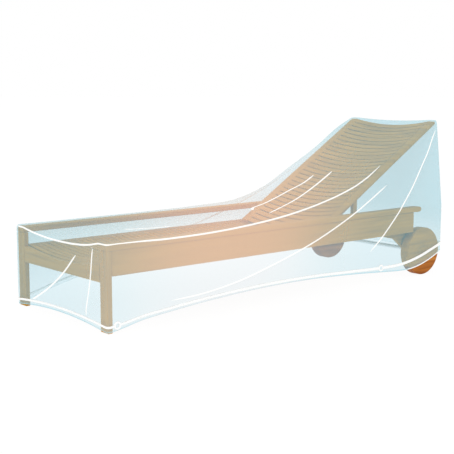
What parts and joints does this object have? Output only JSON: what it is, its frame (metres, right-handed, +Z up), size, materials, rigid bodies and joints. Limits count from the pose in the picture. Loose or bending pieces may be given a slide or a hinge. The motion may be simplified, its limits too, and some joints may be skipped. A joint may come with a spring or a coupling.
{
  "type": "lounge chair cover on a sun lounger",
  "caption": "Clear film cover with a taped hem and eyelets, fitted over a slatted wooden sun lounger whose backrest is propped up.",
  "frame": {"origin": "on the floor, under the middle of the cover's length and width", "axes": "+X runs along the lounger from the foot end to the head end, +Y across it to the far side, +Z up"},
  "size_m": [2.0801, 0.7294, 0.7812],
  "materials": {
    "film": "soft clear pale-blue film, slightly milky at its folds",
    "tape": "white woven polyester tape, sewn on",
    "eyelet": "white moulded plastic, lightly glossy",
    "wood": "oiled reddish-brown hardwood, straight grain",
    "axle_steel": "zinc plated steel"
  },
  "bodies": {
    "root": {"axle": "axle_steel", "backrest": "wood", "cover_foot_end": "film", "cover_head_end": "film", "cover_side_far": "film", "cover_side_near": "film", "cover_top": "film", "eyelet_far_foot": "eyelet", "eyelet_far_head": "eyelet", "eyelet_near_foot": "eyelet", "eyelet_near_head": "eyelet", "foot_board": "wood", "head_board": "wood", "hem_tape": "tape", "leg_far": "wood", "leg_near": "wood", "pivot_block_far": "wood", "pivot_block_near": "wood", "prop_far": "wood", "prop_near": "wood", "prop_rail": "wood", "rear_block_far": "wood", "seat_slats": "wood", "side_board_far": "wood", "side_board_near": "wood", "spacer_far": "wood", "spacer_near": "wood", "top_rail_far": "wood", "top_rail_near": "wood", "wheel_bracket_far": "wood", "wheel_bracket_near": "wood", "wheel_far": "wood", "wheel_near": "wood"}
  },
  "joints": []
}
